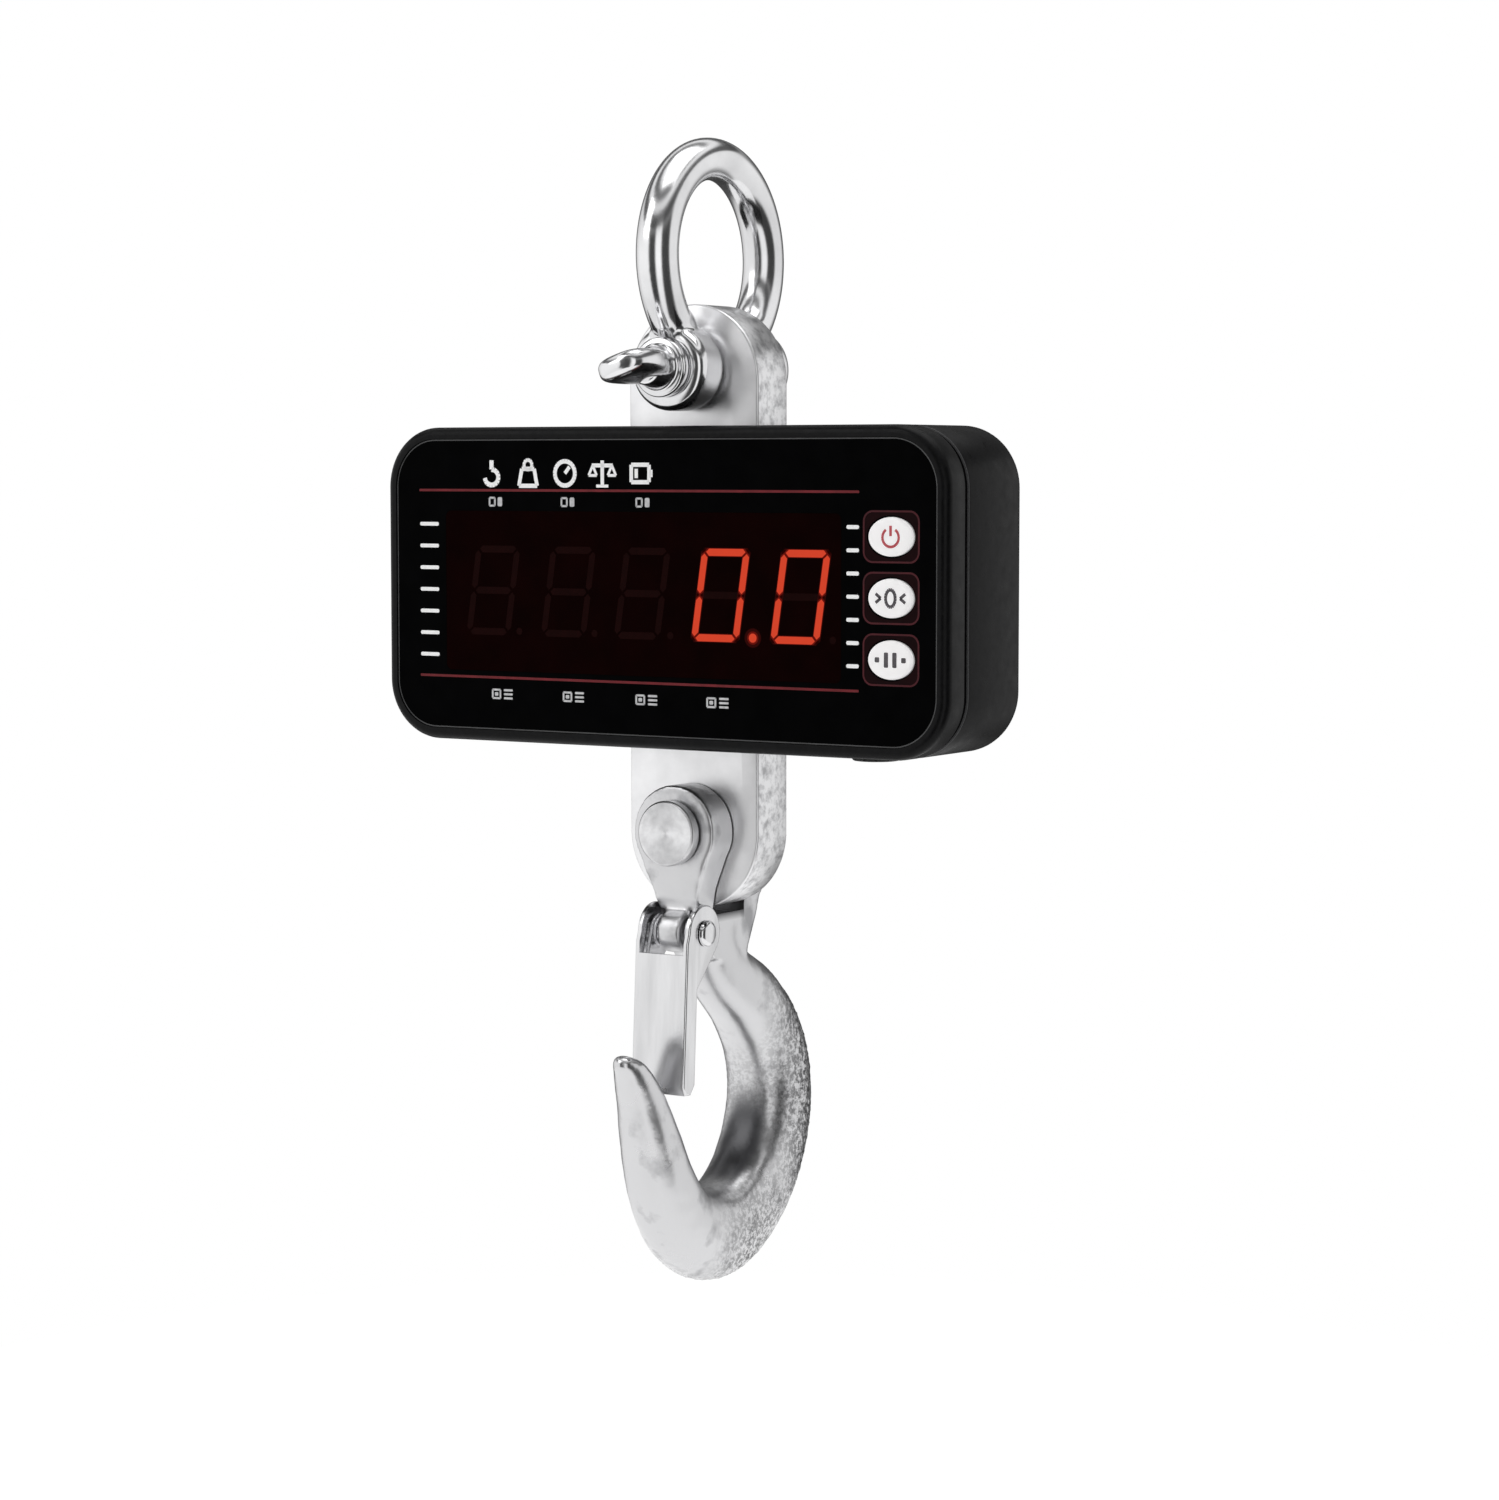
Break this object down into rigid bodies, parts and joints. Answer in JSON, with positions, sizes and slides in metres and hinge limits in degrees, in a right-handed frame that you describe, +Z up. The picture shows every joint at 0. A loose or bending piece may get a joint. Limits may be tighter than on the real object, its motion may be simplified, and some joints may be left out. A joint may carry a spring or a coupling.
{
  "type": "hanging hook scale",
  "caption": "Crane-type hanging scale: screw-pin bow shackle, load plate through a wide LED readout housing with oval keys, and a clevis hook with a sprung safety latch.",
  "frame": {"origin": "the hang point: inside of the shackle bow's crown, in the bow's own plane", "axes": "+Z up when the scale hangs, the display faces -Y, +X is to the right of a person who reads the display"},
  "size_m": [0.201, 0.1032, 0.3524],
  "materials": {
    "battery_clamp": "bent strip",
    "battery_lead": "matte sheath",
    "battery_pack": "blue shrink wrap",
    "board_screw_1": "plated",
    "board_screw_2": "plated",
    "board_screw_3": "plated",
    "board_screw_4": "plated",
    "bottom_seal": "matte",
    "buzzer": "moulded black",
    "charging_jack": "moulded black",
    "charging_plug": "matte",
    "clamp_screw_1": "plated",
    "clamp_screw_2": "plated",
    "clevis_hook": "cast and plated, coarse grain",
    "clevis_pin": "turned, bright",
    "clevis_washer": "plated",
    "controller_chip": "moulded black",
    "converter_chip": "moulded black",
    "digit_module_1": "dark face",
    "digit_module_2": "dark face",
    "digit_module_3": "dark face",
    "digit_module_4": "dark face",
    "digit_module_5": "dark face",
    "display_board": "green laminate",
    "display_ribbon": "grey ribbon",
    "display_window": "very dark red, clear",
    "front_overlay": "glossy black",
    "front_shell": "satin black",
    "gauge_lead": "matte sheath",
    "gauge_potting_front": "soft white compound",
    "gauge_potting_rear": "soft white compound",
    "gauge_socket": "ivory",
    "key_hold": "off-white, smooth",
    "key_power": "off-white, smooth",
    "key_switch_hold": "moulded black",
    "key_switch_power": "moulded black",
    "key_switch_zero": "moulded black",
    "key_zero": "off-white, smooth",
    "latch_rivet": "bright",
    "latch_spring": "spring wire",
    "load_cell_plate": "bright zinc-plated faces, slightly rough sides",
    "main_board": "green laminate",
    "main_board_screw_1": "plated",
    "main_board_screw_2": "plated",
    "plate_screw_1": "plated",
    "plate_screw_2": "plated",
    "plate_spacer": "machined block",
    "rear_shell": "satin black",
    "safety_latch": "bright folded sheet",
    "shackle_bow": "polished forged steel",
    "shackle_pin": "polished steel",
    "shell_screw_1": "plated",
    "shell_screw_2": "plated",
    "shell_screw_3": "plated",
    "shell_screw_4": "plated",
    "shell_seal": "matte",
    "split_pin": "bright wire",
    "strain_gauge_front": "thin foil patch",
    "strain_gauge_rear": "thin foil patch",
    "top_seal": "matte"
  },
  "bodies": {
    "shackle": {"shackle_bow": "shackle_bow"},
    "shackle_pin": {"shackle_pin": "shackle_pin"},
    "scale_body": {"battery_clamp": "battery_clamp", "battery_lead": "battery_lead", "battery_pack": "battery_pack", "board_screw_1": "board_screw_1", "board_screw_2": "board_screw_2", "board_screw_3": "board_screw_3", "board_screw_4": "board_screw_4", "bottom_seal": "bottom_seal", "buzzer": "buzzer", "charging_jack": "charging_jack", "clamp_screw_1": "clamp_screw_1", "clamp_screw_2": "clamp_screw_2", "controller_chip": "controller_chip", "converter_chip": "converter_chip", "digit_module_1": "digit_module_1", "digit_module_2": "digit_module_2", "digit_module_3": "digit_module_3", "digit_module_4": "digit_module_4", "digit_module_5": "digit_module_5", "display_board": "display_board", "display_ribbon": "display_ribbon", "display_window": "display_window", "front_overlay": "front_overlay", "front_shell": "front_shell", "gauge_lead": "gauge_lead", "gauge_potting_front": "gauge_potting_front", "gauge_potting_rear": "gauge_potting_rear", "gauge_socket": "gauge_socket", "key_switch_hold": "key_switch_hold", "key_switch_power": "key_switch_power", "key_switch_zero": "key_switch_zero", "load_cell_plate": "load_cell_plate", "main_board": "main_board", "main_board_screw_1": "main_board_screw_1", "main_board_screw_2": "main_board_screw_2", "plate_screw_1": "plate_screw_1", "plate_screw_2": "plate_screw_2", "plate_spacer": "plate_spacer", "rear_shell": "rear_shell", "shell_screw_1": "shell_screw_1", "shell_screw_2": "shell_screw_2", "shell_screw_3": "shell_screw_3", "shell_screw_4": "shell_screw_4", "shell_seal": "shell_seal", "strain_gauge_front": "strain_gauge_front", "strain_gauge_rear": "strain_gauge_rear", "top_seal": "top_seal"},
    "key_power": {"key_power": "key_power"},
    "key_zero": {"key_zero": "key_zero"},
    "key_hold": {"key_hold": "key_hold"},
    "charging_plug": {"charging_plug": "charging_plug"},
    "clevis_pin": {"clevis_pin": "clevis_pin", "clevis_washer": "clevis_washer", "split_pin": "split_pin"},
    "hook": {"clevis_hook": "clevis_hook", "latch_rivet": "latch_rivet", "latch_spring": "latch_spring"},
    "latch": {"safety_latch": "safety_latch"}
  },
  "joints": [
    {"name": "scale_swing", "type": "hinge", "parent": "shackle", "child": "scale_body", "pos_m": [0, -0.002, -0.0572], "axis": [0, 1, 0], "range_deg": [-90, 90]},
    {"name": "shackle_pin_turn", "type": "hinge", "parent": "shackle", "child": "shackle_pin", "pos_m": [0, 0, -0.0572], "axis": [0, 1, 0], "continuous": true},
    {"name": "key_power_press", "type": "slide", "parent": "scale_body", "child": "key_power", "axis": [0, 1, 0], "range_m": [0, 0.0004], "stiffness_N_per_m": 4000, "springref_m": -0.0001},
    {"name": "key_zero_press", "type": "slide", "parent": "scale_body", "child": "key_zero", "axis": [0, 1, 0], "range_m": [0, 0.0004], "stiffness_N_per_m": 4000, "springref_m": -0.0001},
    {"name": "key_hold_press", "type": "slide", "parent": "scale_body", "child": "key_hold", "axis": [0, 1, 0], "range_m": [0, 0.0004], "stiffness_N_per_m": 4000, "springref_m": -0.0001},
    {"name": "charging_plug_pull", "type": "slide", "parent": "scale_body", "child": "charging_plug", "axis": [0, 0, -1], "range_m": [0, 0.012]},
    {"name": "clevis_pin_turn", "type": "hinge", "parent": "scale_body", "child": "clevis_pin", "pos_m": [0, -0.002, -0.1977], "axis": [0, 1, 0], "continuous": true},
    {"name": "hook_swing", "type": "hinge", "parent": "scale_body", "child": "hook", "pos_m": [0, -0.002, -0.1977], "axis": [0, 1, 0], "range_deg": [-90, 90]},
    {"name": "latch_open", "type": "hinge", "parent": "hook", "child": "latch", "pos_m": [0, -0.0188, -0.2282], "axis": [1, 0, 0], "range_deg": [0, 42], "stiffness_Nm_per_rad": 0.05, "springref_deg": -34.38, "deforming": ["latch_spring"]}
  ]
}
